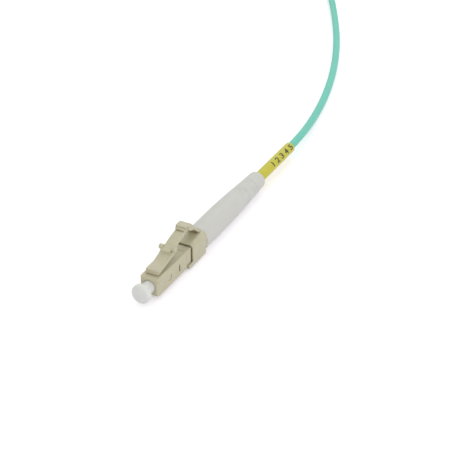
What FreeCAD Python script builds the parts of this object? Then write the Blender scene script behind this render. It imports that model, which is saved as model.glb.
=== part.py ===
"""LC fibre optic connector on a jacketed pigtail, as one assembly of separate pieces.

Millimetres. +Z is up, on the latch side, +Y runs along the ferrule towards the cable, and the
origin is on the ferrule's axis in the plane of the plug's front face.
"""
import FreeCAD
import Part
import math
import os

Vector = FreeCAD.Vector
X_AXIS = Vector(1, 0, 0)
Y_AXIS = Vector(0, 1, 0)
Z_AXIS = Vector(0, 0, 1)

# Clearances
RUNNING_GAP = 0.02          # turned parts inside each other, radial
HINGE_GAP = 0.03            # hinge barrel in its groove, radial
NEST_GAP = 0.05             # one moulding inside another
SEAM_GAP = 0.04             # between two end faces that meet
GLUE_GAP = 0.002            # fibre in the ferrule's bore, radial

# Fibre, buffer, yarn and jacket of the cable
fibre_d = 0.125
buffer_d = 0.9
jacket_d = 2.0
jacket_wall = 0.3

# Ferrule and its metal flange
ferrule_d = 1.25
ferrule_length = 6.4
ferrule_reach = 1.6         # ahead of the plug's front face
ferrule_chamfer = 0.22
ferrule_entry_d = 0.5
ferrule_entry_length = 0.5
ferrule_seat = 1.4          # length of the ferrule held in the flange
stripped_length = 0.4       # of bare fibre behind the ferrule
flange_hex = 2.7            # across flats
flange_length = 1.6
flange_tail_wall = 0.3
flange_tail_length = 4.0

# Plug housing
plug_width = 4.5
plug_length = 12.85
plug_front_round = 0.45
plug_top_round = 0.2
front_bore_depth = 2.8
seat_hole_d = 1.9
flange_pocket_length = 2.0
window_y = 9.45
window_length = 0.8
window_low = -1.2
window_high = 0.7
ejector_mark_d = 1.7
ejector_mark_y = 5.45
ejector_mark_z = -0.15
ejector_mark_depth = 0.12

# Latch: distances behind the plug's front face, and heights above its top
latch_width = 3.15
latch_upper_width = 2.24
latch_gap = 0.08
latch_front = 1.45
latch_foot_length = 1.0
latch_foot_height = 1.25
latch_flat_length = 3.55
latch_rise = 2.05           # height of the lower arm where the upper one steps up
latch_step_y = 7.45
latch_step_height = 0.82
latch_step_overlap = 0.5    # of the upper arm's root in the lower arm
latch_elbow_y = 9.35
latch_elbow_height = 3.23
latch_elbow_thickness = 1.55
latch_elbow_undercut = 0.2  # of its underside, ahead of its top
latch_side_drop = 0.4       # of the lower arm's rear corner, below the upper arm
latch_bend_height = 4.01
latch_bend_to_rib = 2.2
latch_tail_thickness = 1.15
latch_tail_height = 4.45
latch_tail_hook = 0.7       # down from the tail's top to its rear lower corner
latch_rib_height = 0.54
latch_rib_length = 0.65
latch_rib_lean = 0.1        # of the rib's front face
latch_rib_to_block = 1.5
latch_hinge_d = 0.7
latch_hinge_inset = 0.55    # behind the foot's front
latch_hinge_depth = 0.05    # below the plug's top
ear_y = 8.61
ear_height = 2.9
ear_sink = 0.1              # of the ears' axis below the lower arm's corner
ear_d = 1.2
ear_span = 4.2

# Back body: flange, nose in the plug, neck in the trigger housing, barrel for the crimp
back_flange_length = 2.16
nose_start = 6.2
nose_wall = 0.35
spring_room = 0.15          # between the spring and its bore, radial
spring_seat = 11.5
snap_tab_inset = 0.13       # below the plug's side
snap_tab_margin = 0.26
snap_tab_rise = 0.35        # above the window's lower edge
neck_d = 4.2
neck_length = 2.95
neck_ring_inset = 1.35
neck_ring_length = 0.5
neck_ring_height = 0.1
barrel_d = 2.6
barrel_length = 6.6
barrel_groove_pitch = 0.8
barrel_groove_depth = 0.1
barrel_groove_count = 6
barrel_groove_inset = 0.6    # behind the crimp's front
guide_tube_wall = 0.2
guide_tube_bore_d = 1.0
guide_tube_inset = 0.5      # behind the spring's seat
guide_tube_overhang = 0.8   # behind the barrel

# Spring round the flange's tail
spring_wire_d = 0.3
spring_turns = 8
spring_end_gap = 0.01

# Trigger housing
trigger_width = 5.4
trigger_gap = 0.4           # behind the back body's flange
trigger_length = 6.45
trigger_low = -2.6
trigger_high = 2.85
trigger_chamfer = 0.75
trigger_step_z = -0.8
trigger_step = 0.65
ledge_reach = 2.0
ledge_high = -1.6

# Trigger lever over the latch's tail
lever_width = 2.64
lever_overlap = 0.1         # of the lip over the latch's rib
lever_lip_gap = 0.06
lever_lip_thickness = 0.35
lever_pad_length = 2.1
lever_strap_bump = 2.4      # from the pad's top down to the strap's lowest bend
lever_strap_bend = 3.5      # from the lip's front back to that bend
lever_bump_front = 2.25     # from the lip's front back to the front of the underside's bump
lever_bump_rise = 0.2
lever_web_front = 1.5       # from the lip's front back to the web under the pad
lever_web_rise = 0.95
lever_lip_length = 1.1
lever_lip_depth = 0.45      # of the pad behind the lip, below the lip's underside
lever_root_gap = 0.13       # between the lever's root and the block
lever_hinge_d = 0.6
lever_hinge_inset = 1.05    # ahead of the block's rear face
lever_hinge_depth = 0.1
lever_heel = 0.5            # behind the hinge
lever_heel_height = 0.1
lever_toe = 0.3             # ahead of the hinge
lever_throat = 0.8          # ahead of the hinge, where the strap's underside starts
lever_throat_height = 0.4

# Crimp sleeve and aramid yarn
yarn_thickness = 0.15
crimp_wall = 0.25
crimp_inset = 0.5           # behind the back body's neck
crimp_overhang = 0.3        # behind the barrel
crimp_cone = 1.2
crimp_neck_length = 2.9
jacket_inset = 0.5          # behind the crimp's cone
yarn_inset = 0.2

# Strain relief boot: a straight stretch, then a taper
boot_collar_inset = 0.7     # behind the back body's neck
boot_d = 6.0
boot_front_round = 0.3
boot_straight = 9.05
boot_taper = 22.55
boot_end_d = 4.5
boot_end_round = 0.7
boot_taper_shape = ((0.34, 0.167), (0.7, 0.62))     # share of the length, share of the drop
boot_slit_width = 0.2
boot_slit_angle = 140.0
boot_slit_web = 0.4         # left over the bore, radial
boot_slit_rows = ((10.85, 135.0), (9.7, 45.0), (6.35, 135.0), (5.0, 45.0))     # from the end, turn

# Marker sleeve on the cable
marker_d = 2.8
marker_length = 18.5
marker_gap = 0.1

# Dust cap
cap_shaft_d = 3.0
cap_insertion = 2.5
cap_neck = 2.6
cap_head_d = 4.7
cap_head_length = 1.4
cap_crown = 0.12
cap_shaft_round = 0.15
cap_rear_round = 0.28
cap_front_round = 0.6
cap_bore_spare = 0.3
cap_mouth_flare = 0.4
cap_mouth_depth = 0.2

# Route of the cable behind the boot's end, straight at first and then lying in one long bend
cable_offsets = (
    (0.0, 0.0, 0.0),
    (0.05, 11.65, 0.0),
    (-0.05, 25.45, 0.0),
    (-2.8, 40.25, -1.9),
    (-5.55, 54.05, -2.0),
    (-9.65, 68.65, -2.0),
    (-15.3, 84.15, -2.0),
    (-22.3, 99.85, -2.0),
    (-33.2, 120.75, -1.75),
    (-40.3, 131.55, -1.6),
)
run_share = 0.45            # of the shorter run, used up by each bend

# Coil of the rest of the cable, wound in columns and layers, on two flat ties
coil_mean_d = 24.0
coil_columns = 4
coil_layers = 3
coil_turn_gap = 0.05
coil_lead_in = 8.0
coil_edge_round = 0.9
tie_thickness = 0.35
tie_width = 4.0
tie_angles = (80.0, 260.0)  # from the point where the cable joins the coil

# Places along the axis, worked out from the lengths
plug_half = plug_width / 2
ferrule_rear = ferrule_length - ferrule_reach
flange_front = ferrule_rear - ferrule_seat
flange_rear = flange_front + flange_length
flange_tail_end = flange_rear + flange_tail_length
buffer_start = ferrule_rear + stripped_length
back_flange_start = plug_length + SEAM_GAP
back_flange_end = back_flange_start + back_flange_length
neck_end = back_flange_end + neck_length
neck_ring_start = back_flange_end + neck_ring_inset
barrel_end = neck_end + barrel_length
trigger_front = back_flange_end + trigger_gap
trigger_end = trigger_front + trigger_length
ledge_front = trigger_front - ledge_reach
guide_tube_start = spring_seat + guide_tube_inset
guide_tube_end = barrel_end + guide_tube_overhang
crimp_start = neck_end + crimp_inset
crimp_shoulder = barrel_end + crimp_overhang
crimp_cone_end = crimp_shoulder + crimp_cone
crimp_end = crimp_cone_end + crimp_neck_length
yarn_start = crimp_start + yarn_inset
jacket_start = crimp_cone_end + jacket_inset
boot_collar_start = neck_end + boot_collar_inset
boot_front = trigger_end + NEST_GAP
boot_taper_start = boot_front + boot_straight
boot_end = boot_taper_start + boot_taper
marker_start = boot_end + marker_gap

# Diameters that follow from what they go round
front_bore_d = cap_shaft_d + 2 * NEST_GAP
flange_tail_d = buffer_d + 2 * NEST_GAP + 2 * flange_tail_wall
spring_bore_d = flange_tail_d + 2 * (NEST_GAP + spring_wire_d + spring_room)
nose_d = spring_bore_d + 2 * nose_wall
guide_tube_d = guide_tube_bore_d + 2 * guide_tube_wall
jacket_bore_d = jacket_d - 2 * jacket_wall
yarn_d = jacket_bore_d - 2 * RUNNING_GAP
yarn_bore_d = buffer_d + 2 * RUNNING_GAP
crimp_bore_d = barrel_d + 2 * yarn_thickness + 2 * RUNNING_GAP
crimp_neck_bore_d = jacket_d + 2 * RUNNING_GAP
socket_d = neck_d + 2 * NEST_GAP

# Hinges and the lever's place over the latch
latch_hinge_y = latch_front + latch_hinge_inset
latch_hinge_z = plug_half - latch_hinge_depth
latch_rib_y = trigger_front - latch_rib_to_block
lever_hinge_y = trigger_end - lever_hinge_inset
lever_hinge_z = trigger_high - lever_hinge_depth
lever_front = latch_rib_y + latch_rib_length - lever_overlap
lever_lip_low = plug_half + latch_tail_height + latch_rib_height + lever_lip_gap
lever_top = lever_lip_low + lever_lip_thickness


def box(low, high):
    """Box from its lowest to its highest corner."""
    return Part.makeBox(high[0] - low[0], high[1] - low[1], high[2] - low[2], Vector(*low))


def rod(diameter, start, end):
    """Cylinder along the ferrule's axis."""
    return Part.makeCylinder(diameter / 2, end - start, Vector(0, start, 0), Y_AXIS)


def cross_pin(diameter, y, z, half_width):
    """Cylinder along X, centred on the middle plane."""
    return Part.makeCylinder(diameter / 2, 2 * half_width, Vector(-half_width, y, z), X_AXIS)


def cone(start_d, end_d, start, end):
    """Cone frustum along the ferrule's axis."""
    return Part.makeCone(start_d / 2, end_d / 2, end - start, Vector(0, start, 0), Y_AXIS)


def rounded_wire(corners):
    """Closed wire through corners given as (point, radius), each rounded to its radius."""
    edges = []
    joints = []
    count = len(corners)
    for index, (point, radius) in enumerate(corners):
        if radius == 0:
            joints.append((point, point, None))
            continue
        before = (corners[index - 1][0] - point).normalize()
        after = (corners[(index + 1) % count][0] - point).normalize()
        half_angle = before.getAngle(after) / 2
        reach = radius / math.tan(half_angle)
        middle = (before + after).normalize() * (radius / math.sin(half_angle) - radius)
        joints.append((point + before * reach, point + after * reach, point + middle))
    for index, (arrive, leave, middle) in enumerate(joints):
        if middle is not None:
            edges.append(Part.Arc(arrive, middle, leave).toShape())
        edges.append(Part.LineSegment(leave, joints[(index + 1) % count][0]).toShape())
    return Part.Wire(edges)


def side_plate(corners, width):
    """Plate of that width across X, whose side outline has corners (y, z, radius)."""
    outline = [(Vector(-width / 2, y, z), radius) for y, z, radius in corners]
    return Part.Face(rounded_wire(outline)).extrude(Vector(width, 0, 0))


def end_section(corners, start, end):
    """Bar along Y, whose section has corners (x, z, radius)."""
    outline = [(Vector(x, start, z), radius) for x, z, radius in corners]
    return Part.Face(rounded_wire(outline)).extrude(Vector(0, end - start, 0))


def turned(corners):
    """Solid turned about the ferrule's axis from an outline with corners (y, radius there, round)."""
    outline = [(Vector(distance, y, 0), radius) for y, distance, radius in corners]
    return Part.Face(rounded_wire(outline)).revolve(Vector(0, 0, 0), Y_AXIS, 360)


def edges_at(shape, test):
    """Edges whose whole length passes the test."""
    found = []
    for edge in shape.Edges:
        bounds = edge.BoundBox
        if test(bounds):
            found.append(edge)
    return found


def make_dust_cap():
    """Push-on cap: hollow shaft in the plug's front bore, and a round head to pull."""
    head_start = -cap_neck
    head_end = -(cap_neck + cap_head_length)
    shaft = cap_shaft_d / 2
    head = cap_head_d / 2
    outline = (
        (cap_insertion, 0, 0),
        (cap_insertion, shaft, cap_shaft_round),
        (head_start, shaft, cap_rear_round),
        (head_start, head, cap_rear_round),
        (head_end, head, cap_front_round),
        (head_end - cap_crown, 0, 0),
    )
    bore_d = ferrule_d + 2 * RUNNING_GAP
    bore_end = -(ferrule_reach + cap_bore_spare)
    mouth = cone(bore_d, bore_d + cap_mouth_flare, cap_insertion - cap_mouth_depth, cap_insertion)
    return turned(outline).cut(rod(bore_d, bore_end, cap_insertion)).cut(mouth)


def make_plug_housing():
    """Square plug body with the front bore, the ferrule's seat and the rear socket."""
    body = box((-plug_half, 0, -plug_half), (plug_half, plug_length, plug_half))
    top_edges = edges_at(body, lambda b: b.ZMin > plug_half - 0.01 and b.YLength > 1)
    body = body.makeFillet(plug_top_round, top_edges)
    body = body.makeFillet(plug_front_round, edges_at(body, lambda b: b.YMax < 0.01))
    body = body.cut(rod(front_bore_d, 0, front_bore_depth))
    body = body.cut(rod(seat_hole_d, 0, plug_length))
    pocket_start = flange_front
    pocket_end = pocket_start + flange_pocket_length
    body = body.cut(hexagon(flange_hex + 2 * NEST_GAP, pocket_start, pocket_end))
    body = body.cut(rod(nose_d + 2 * NEST_GAP, pocket_end, plug_length))
    window = box((-plug_half, window_y, window_low),
                 (plug_half, window_y + window_length, window_high))
    body = body.cut(window)
    body = body.cut(cross_pin(latch_hinge_d + 2 * HINGE_GAP, latch_hinge_y, latch_hinge_z,
                              latch_width / 2 + NEST_GAP))
    mark = cross_pin(ejector_mark_d, ejector_mark_y, ejector_mark_z, plug_half)
    core = cross_pin(ejector_mark_d, ejector_mark_y, ejector_mark_z, plug_half - ejector_mark_depth)
    return body.cut(mark.cut(core))


def hexagon(across_flats, start, end):
    """Six-sided bar along the axis, with flats at the top and the bottom."""
    corner = across_flats / 2 / math.cos(math.radians(30))
    points = []
    for index in range(6):
        angle = math.radians(60 * index)
        points.append(Vector(corner * math.cos(angle), start, corner * math.sin(angle)))
    return Part.Face(Part.makePolygon(points + [points[0]])).extrude(Vector(0, end - start, 0))


def make_latch_arm():
    """Sprung arm on the plug: wide lower arm, narrow upper arm, two ears and a ribbed tail."""
    foot_z = plug_half + latch_gap
    flat_z = plug_half + latch_foot_height
    flat_end = latch_front + latch_flat_length
    step_low = plug_half + latch_rise
    step_high = step_low + latch_step_height
    ear_z = plug_half + ear_height
    elbow_z = plug_half + latch_elbow_height
    elbow_low = elbow_z - latch_elbow_thickness
    undercut_y = latch_elbow_y - latch_elbow_undercut
    bend_y = latch_rib_y - latch_bend_to_rib
    bend_z = plug_half + latch_bend_height
    tail_z = plug_half + latch_tail_height
    rib_z = tail_z + latch_rib_height
    tail_end = latch_rib_y + latch_rib_length
    lower = side_plate((
        (latch_front, foot_z, 0.1),
        (latch_front, flat_z, 0.15),
        (flat_end, flat_z, 3.0),
        (latch_step_y, step_low, 2.0),
        (ear_y, ear_z + ear_sink, 0.3),
        (latch_elbow_y, elbow_z - latch_side_drop, 0.3),
        (undercut_y, elbow_low, 0.3),
        (latch_front + latch_foot_length, foot_z, 1.0),
    ), latch_width)
    upper = side_plate((
        (latch_step_y, step_low - latch_step_overlap, 0),
        (latch_step_y, step_high, 0.12),
        (latch_elbow_y, elbow_z, 4.0),
        (bend_y, bend_z, 6.0),
        (latch_rib_y, tail_z, 0.1),
        (latch_rib_y + latch_rib_lean, rib_z, 0.1),
        (tail_end, rib_z, 0.2),
        (tail_end, tail_z - latch_tail_hook, 0.3),
        (latch_rib_y, tail_z - latch_tail_thickness, 1.0),
        (bend_y, bend_z - latch_tail_thickness, 4.0),
        (undercut_y, elbow_low, 1.5),
    ), latch_upper_width)
    ears = cross_pin(ear_d, ear_y, ear_z, ear_span / 2)
    ears = ears.cut(cross_pin(ear_d, ear_y, ear_z, latch_upper_width / 2 - NEST_GAP))
    barrel = cross_pin(latch_hinge_d, latch_hinge_y, latch_hinge_z, latch_width / 2)
    return lower.fuse([upper, ears, barrel]).removeSplitter()


def make_back_body():
    """Rear body: nose with snap tabs, square flange, neck, and a grooved barrel for the crimp."""
    nose = rod(nose_d, nose_start, plug_length + 1)
    tab_half = plug_half - snap_tab_inset
    tab_start = window_y + snap_tab_margin
    tab_end = window_y + window_length - NEST_GAP
    tabs = box((-tab_half, tab_start, window_low + snap_tab_rise),
               (tab_half, tab_end, window_high - NEST_GAP))
    flange = end_section((
        (-plug_half, -plug_half, 0),
        (plug_half, -plug_half, 0),
        (plug_half, plug_half, plug_top_round),
        (-plug_half, plug_half, plug_top_round),
    ), back_flange_start, back_flange_end)
    neck = rod(neck_d, back_flange_end - 0.5, neck_end)
    ring = rod(neck_d + 2 * neck_ring_height, neck_ring_start, neck_ring_start + neck_ring_length)
    barrel = rod(barrel_d, neck_end - 0.5, barrel_end)
    body = nose.fuse([tabs, flange, neck, ring, barrel])
    for index in range(barrel_groove_count):
        start = crimp_start + barrel_groove_inset + index * barrel_groove_pitch
        groove = rod(barrel_d + 1, start, start + barrel_groove_pitch / 2)
        body = body.cut(groove.cut(rod(barrel_d - 2 * barrel_groove_depth, start, start + 1)))
    body = body.cut(rod(spring_bore_d, nose_start, spring_seat))
    body = body.cut(rod(guide_tube_d + 2 * RUNNING_GAP, spring_seat, barrel_end))
    return body.removeSplitter()


def make_trigger_housing():
    """Block behind the plug, with a ledge under the plug and a groove for the lever."""
    half = trigger_width / 2
    section = (
        (-half, trigger_low, 0.12),
        (half, trigger_low, 0.12),
        (half, trigger_high - trigger_chamfer, 0.15),
        (half - trigger_chamfer, trigger_high, 0.15),
        (-half + trigger_chamfer, trigger_high, 0.15),
        (-half, trigger_high - trigger_chamfer, 0.15),
    )
    body = end_section(section, ledge_front, trigger_end)
    body = body.cut(box((-half, ledge_front, ledge_high), (half, trigger_front, trigger_high)))
    room = plug_half + NEST_GAP
    body = body.cut(box((-room, ledge_front, -room), (room, trigger_front, room)))
    step_start = trigger_end - trigger_step
    body = body.cut(box((-half, step_start, trigger_low), (half, trigger_end, trigger_step_z)))
    body = body.cut(rod(socket_d, ledge_front, trigger_end))
    ring_room = rod(neck_d + 2 * (neck_ring_height + NEST_GAP), neck_ring_start - NEST_GAP,
                    neck_ring_start + neck_ring_length + NEST_GAP)
    body = body.cut(ring_room)
    groove = cross_pin(lever_hinge_d + 2 * HINGE_GAP, lever_hinge_y, lever_hinge_z,
                       lever_width / 2 + NEST_GAP)
    return body.cut(groove)


def make_trigger_lever():
    """Lever over the latch's tail: lip and flat pad in front, sloping strap down to its hinge."""
    pad_end = lever_front + lever_pad_length
    foot = trigger_high + lever_root_gap
    back = lever_hinge_y + lever_heel
    strap_low = lever_top - lever_strap_bump
    strap = side_plate((
        (lever_front, lever_lip_low, 0.08),
        (lever_front, lever_top, 0.22),
        (pad_end, lever_top, 0.9),
        (back, foot + lever_heel_height, 0.1),
        (back, foot, 0),
        (lever_hinge_y - lever_toe, foot, 0),
        (lever_hinge_y - lever_throat, foot + lever_throat_height, 0.3),
        (lever_front + lever_strap_bend, strap_low, 0.8),
        (lever_front + lever_bump_front, strap_low + lever_bump_rise, 0.4),
        (lever_front + lever_web_front, strap_low + lever_web_rise, 0.3),
        (lever_front + lever_lip_length, lever_lip_low - lever_lip_depth, 0.3),
    ), lever_width)
    barrel = cross_pin(lever_hinge_d, lever_hinge_y, lever_hinge_z, lever_width / 2)
    return strap.fuse(barrel).removeSplitter()


def make_ferrule():
    """Ceramic ferrule with a chamfered tip and a bore for the fibre."""
    radius = ferrule_d / 2
    tip = -ferrule_reach
    outline = (
        (tip, 0, 0),
        (tip, radius - ferrule_chamfer, 0),
        (tip + ferrule_chamfer, radius, 0),
        (ferrule_rear, radius, 0),
        (ferrule_rear, 0, 0),
    )
    entry = cone(fibre_d, ferrule_entry_d, ferrule_rear - ferrule_entry_length, ferrule_rear)
    return turned(outline).cut(rod(fibre_d + 2 * GLUE_GAP, tip, ferrule_rear)).cut(entry)


def make_ferrule_flange():
    """Metal six-sided flange that holds the ferrule, with a tail tube inside the spring."""
    body = hexagon(flange_hex, flange_front, flange_rear)
    body = body.fuse(rod(flange_tail_d, flange_rear, flange_tail_end))
    body = body.cut(rod(ferrule_d, flange_front, ferrule_rear))
    return body.cut(rod(buffer_d + 2 * NEST_GAP, ferrule_rear, flange_tail_end))


def make_ferrule_spring():
    """Round wire spring between the flange and the bottom of the back body's bore."""
    mean = flange_tail_d / 2 + NEST_GAP + spring_wire_d / 2
    start = flange_rear + spring_wire_d / 2 + spring_end_gap
    height = spring_seat - flange_rear - spring_wire_d - 2 * spring_end_gap
    helix = Part.makeHelix(height / spring_turns, height, mean)
    section = Part.Wire(Part.Circle(Vector(mean, 0, 0), Y_AXIS, spring_wire_d / 2).toShape())
    coil = Part.Wire(helix).makePipeShell([section], True, True)
    coil.rotate(Vector(0, 0, 0), X_AXIS, -90)
    coil.translate(Vector(0, start, 0))
    return coil


def make_aramid_yarn():
    """Strength yarn: a layer in the jacket, fanned out over the barrel under the crimp."""
    inner = yarn_bore_d / 2
    outer = yarn_d / 2
    over = barrel_d / 2
    outline = (
        (yarn_start, over, 0),
        (yarn_start, over + yarn_thickness, 0),
        (barrel_end + NEST_GAP, over + yarn_thickness, 0),
        (jacket_start - NEST_GAP, outer, 0),
        (boot_end, outer, 0),
        (boot_end, inner, 0),
        (jacket_start - NEST_GAP, inner, 0),
        (barrel_end + NEST_GAP, over, 0),
    )
    return turned(outline).cut(rod(guide_tube_d + 2 * RUNNING_GAP, barrel_end, guide_tube_end + NEST_GAP))


def make_crimp_sleeve():
    """Metal sleeve that clamps the yarn on the barrel and the jacket behind it."""
    wide = crimp_bore_d / 2
    narrow = crimp_neck_bore_d / 2
    outline = (
        (crimp_start, wide, 0),
        (crimp_start, wide + crimp_wall, 0),
        (crimp_shoulder, wide + crimp_wall, 0),
        (crimp_cone_end, narrow + crimp_wall, 0),
        (crimp_end, narrow + crimp_wall, 0),
        (crimp_end, narrow, 0),
        (crimp_cone_end, narrow, 0),
        (crimp_shoulder, wide, 0),
    )
    return turned(outline)


def make_strain_boot():
    """Tapered boot with rows of slits that let its narrow end bend."""
    collar = neck_d / 2
    end_radius = boot_end_d / 2
    radius = boot_d / 2
    round_start = boot_end - boot_end_round
    taper_points = [Vector(radius, boot_taper_start, 0)]
    for length_share, drop_share in boot_taper_shape:
        y = boot_taper_start + length_share * (round_start - boot_taper_start)
        taper_points.append(Vector(radius - drop_share * (radius - end_radius), y, 0))
    taper_points.append(Vector(end_radius, round_start, 0))
    taper = Part.BSplineCurve()
    taper.interpolate(taper_points)
    half_turn = math.sqrt(0.5) * boot_end_round
    end_middle = Vector(end_radius - boot_end_round + half_turn, round_start + half_turn, 0)
    inner_end = Vector(end_radius - boot_end_round, boot_end, 0)
    corners = [
        inner_end,
        Vector(0, boot_end, 0),
        Vector(0, boot_collar_start, 0),
        Vector(collar, boot_collar_start, 0),
        Vector(collar, boot_front, 0),
        Vector(radius, boot_front, 0),
        Vector(radius, boot_taper_start, 0),
    ]
    edges = [Part.LineSegment(first, second).toShape() for first, second in zip(corners, corners[1:])]
    edges.append(taper.toShape())
    edges.append(Part.Arc(Vector(end_radius, round_start, 0), end_middle, inner_end).toShape())
    body = Part.Face(Part.Wire(edges)).revolve(Vector(0, 0, 0), Y_AXIS, 360)
    front_edge = edges_at(body, lambda b: b.YLength < 0.01 and abs(b.YMin - boot_front) < 0.01
                          and b.XMax > radius - 0.01)
    body = body.makeFillet(boot_front_round, front_edge)
    around = 2 * (crimp_wall + NEST_GAP)
    shoulder = crimp_shoulder + NEST_GAP
    body = body.cut(rod(crimp_bore_d + around, boot_collar_start, shoulder))
    body = body.cut(cone(crimp_bore_d + around, crimp_neck_bore_d + around,
                         shoulder, crimp_cone_end + NEST_GAP))
    body = body.cut(rod(crimp_neck_bore_d + around, crimp_shoulder, crimp_end + NEST_GAP))
    body = body.cut(rod(jacket_d + 2 * NEST_GAP, crimp_shoulder, boot_end))
    for from_end, turn in boot_slit_rows:
        for side in (0, 180):
            body = body.cut(slit_sector(boot_end - from_end, turn + side))
    return body


def slit_sector(middle, turn):
    """Part ring that cuts one slit, centred on an angle from +X towards +Z."""
    start = Vector(0, middle - boot_slit_width / 2, 0)
    sector = Part.makeCylinder(boot_d, boot_slit_width, start, Y_AXIS, boot_slit_angle)
    sector.rotate(Vector(0, 0, 0), Y_AXIS, -turn - boot_slit_angle / 2 + sector_start(sector))
    core_d = jacket_d + 2 * NEST_GAP + 2 * boot_slit_web
    return sector.cut(rod(core_d, middle - boot_slit_width, middle + boot_slit_width))


def sector_start(sector):
    """Angle that brings the middle of a new part cylinder onto +X."""
    centre = sector.CenterOfMass
    return math.degrees(math.atan2(centre.z, centre.x)) + boot_slit_angle / 2


def cable_points():
    """Corners of the cable's route, from the boot's end to the coil's lead-in."""
    return [Vector(x, boot_end + y, z) for x, y, z in cable_offsets]


def bend_radii(points):
    """Radius of the arc at each inner point, from its share of the shorter run beside it."""
    radii = []
    for before, point, after in zip(points, points[1:], points[2:]):
        turn = (point - before).getAngle(after - point)
        shorter = min((point - before).Length, (after - point).Length)
        radii.append(run_share * shorter / math.tan(turn / 2))
    return radii


def make_cable_run():
    """Jacketed cable from the boot to the coil: straight runs joined by tangent arcs."""
    points = cable_points()
    radii = bend_radii(points)
    edges = []
    here = points[0]
    for before, point, after, radius in zip(points, points[1:], points[2:], radii):
        arriving = (before - point).normalize()
        leaving = (after - point).normalize()
        half_angle = arriving.getAngle(leaving) / 2
        reach = radius / math.tan(half_angle)
        inward = (arriving + leaving).normalize() * (radius / math.sin(half_angle) - radius)
        edges.append(Part.LineSegment(here, point + arriving * reach).toShape())
        bend = Part.Arc(point + arriving * reach, point + inward, point + leaving * reach)
        edges.append(bend.toShape())
        here = point + leaving * reach
    edges.append(Part.LineSegment(here, points[-1]).toShape())
    path = Part.Wire(edges)
    section = Part.Wire(Part.Circle(points[0], points[1] - points[0], jacket_d / 2).toShape())
    tube = path.makePipeShell([section], True, False)
    swept = math.pi * jacket_d ** 2 / 4 * path.Length
    print("bend radii", [round(radius, 1) for radius in radii])
    print("cable run", round(path.Length, 2), "volume", round(tube.Volume, 2), "swept", round(swept, 2))
    return tube


def coil_frame():
    """Centre, heading and outward direction of the coil where the cable joins it, wound clockwise."""
    before, end = cable_points()[-2:]
    heading = end - before
    heading.z = 0
    heading.normalize()
    outward = Z_AXIS.cross(heading)
    pitch = jacket_d + coil_turn_gap
    outer_turn = coil_mean_d / 2 + (coil_columns - 1) * pitch / 2
    centre = end + heading * coil_lead_in - outward * outer_turn
    return centre, heading, outward


def coil_size():
    """Inner radius, outer radius, lowest and highest level of the coil."""
    pitch = jacket_d + coil_turn_gap
    half_width = ((coil_columns - 1) * pitch + jacket_d) / 2
    low = cable_points()[-1].z - jacket_d / 2
    high = low + (coil_layers - 1) * pitch + jacket_d
    return coil_mean_d / 2 - half_width, coil_mean_d / 2 + half_width, low, high


def make_cable_coil():
    """Outer shape of the coiled cable, with the straight lead-in that the run meets."""
    centre, heading, outward = coil_frame()
    inner, outer, low, high = coil_size()
    base = Vector(centre.x, centre.y, low)
    ring = Part.makeCylinder(outer, high - low, base).cut(Part.makeCylinder(inner, high - low, base))
    rim = [edge for edge in ring.Edges if edge.Closed]
    ring = ring.makeFillet(coil_edge_round * jacket_d / 2, rim)
    lead = Part.makeCylinder(jacket_d / 2, coil_lead_in, cable_points()[-1], heading)
    return ring.fuse(lead)


def make_coil_tie(angle):
    """Flat band round the coil's section, at an angle from where the cable joins."""
    centre, heading, outward = coil_frame()
    inner, outer, low, high = coil_size()
    half = tie_width / 2
    inside = math.sqrt(inner ** 2 - half ** 2) - NEST_GAP
    band = box((inside - tie_thickness, -half, low - NEST_GAP - tie_thickness),
               (outer + NEST_GAP + tie_thickness, half, high + NEST_GAP + tie_thickness))
    band = band.cut(box((inside, -half, low - NEST_GAP), (outer + NEST_GAP, half, high + NEST_GAP)))
    start = math.degrees(math.atan2(outward.y, outward.x))
    band.rotate(Vector(0, 0, 0), Z_AXIS, start - angle)
    band.translate(Vector(centre.x, centre.y, 0))
    return band


def build():
    """Every piece by its node's name."""
    return {
        "dust_cap": make_dust_cap(),
        "plug_housing": make_plug_housing(),
        "latch_arm": make_latch_arm(),
        "back_body": make_back_body(),
        "trigger_housing": make_trigger_housing(),
        "trigger_lever": make_trigger_lever(),
        "ferrule": make_ferrule(),
        "ferrule_flange": make_ferrule_flange(),
        "bare_fibre": rod(fibre_d, -ferrule_reach, buffer_start),
        "ferrule_spring": make_ferrule_spring(),
        "guide_tube": rod(guide_tube_d, guide_tube_start, guide_tube_end).cut(
            rod(guide_tube_bore_d, guide_tube_start, guide_tube_end)),
        "tight_buffer": rod(buffer_d, buffer_start, boot_end),
        "aramid_yarn": make_aramid_yarn(),
        "crimp_sleeve": make_crimp_sleeve(),
        "cable_jacket": rod(jacket_d, jacket_start, boot_end).cut(
            rod(jacket_bore_d, jacket_start, boot_end)),
        "strain_boot": make_strain_boot(),
        "marker_sleeve": rod(marker_d, marker_start, marker_start + marker_length).cut(
            rod(jacket_d + 2 * NEST_GAP, marker_start, marker_start + marker_length)),
        "cable_run": make_cable_run(),
        "cable_coil": make_cable_coil(),
        "coil_tie_near": make_coil_tie(tie_angles[0]),
        "coil_tie_far": make_coil_tie(tie_angles[1]),
    }


def export(pieces):
    """One STEP file per piece."""
    os.makedirs("parts", exist_ok=True)
    for name, shape in pieces.items():
        shape.exportStep("parts/" + name + ".step")
        bounds = shape.BoundBox
        print(name, len(shape.Solids), shape.isValid(), round(shape.Volume, 3),
              [round(value, 2) for value in (bounds.XMin, bounds.XMax, bounds.YMin, bounds.YMax,
                                             bounds.ZMin, bounds.ZMax)])


export(build())
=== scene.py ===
import math
import random
import bpy
import bmesh
from mathutils import Matrix, Vector


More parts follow.
